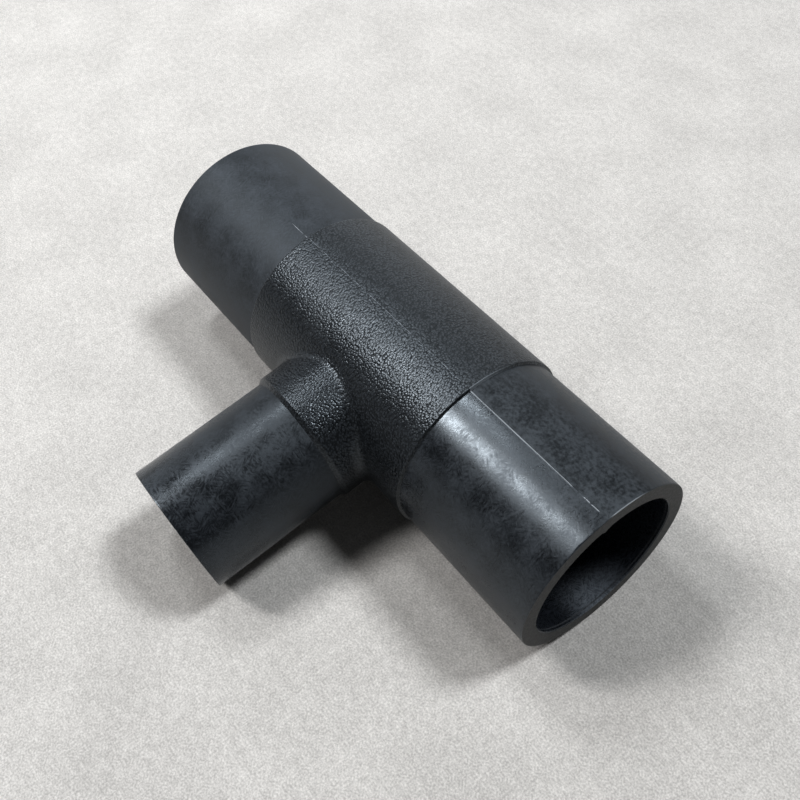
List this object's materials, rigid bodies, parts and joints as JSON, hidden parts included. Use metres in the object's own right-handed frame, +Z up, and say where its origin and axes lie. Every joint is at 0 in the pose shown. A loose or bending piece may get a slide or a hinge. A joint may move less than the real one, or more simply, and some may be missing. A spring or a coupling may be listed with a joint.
{
  "type": "reducing pipe tee",
  "caption": "Black polyethylene reducing pipe tee with plain ends for butt fusion: a straight run with a smaller branch at right angles, grained fatter middle.",
  "frame": {"origin": "centre of the bounding box's bottom face, on the level surface that the tee lies on. The axes of the run and the branch cross at x = 0, y = 41.75 mm, z = 46.35 mm", "axes": "+X along the run, towards the front spigot. The branch points to -Y and 6.8 degrees down, because the tee rests on its fatter body and on the branch's lower edge. +Z is up, away from the surface"},
  "size_m": [0.274, 0.1762, 0.0927],
  "materials": {
    "grained_pe": "black polyethylene, fine moulded pebble grain with a satin sparkle",
    "smooth_pe": "black polyethylene, smooth satin with fine scuffs and swirls"
  },
  "bodies": {
    "root": {"tee_body": "grained_pe", "run_spigot_front": "smooth_pe", "run_spigot_rear": "smooth_pe", "branch_spigot": "smooth_pe"}
  },
  "joints": []
}
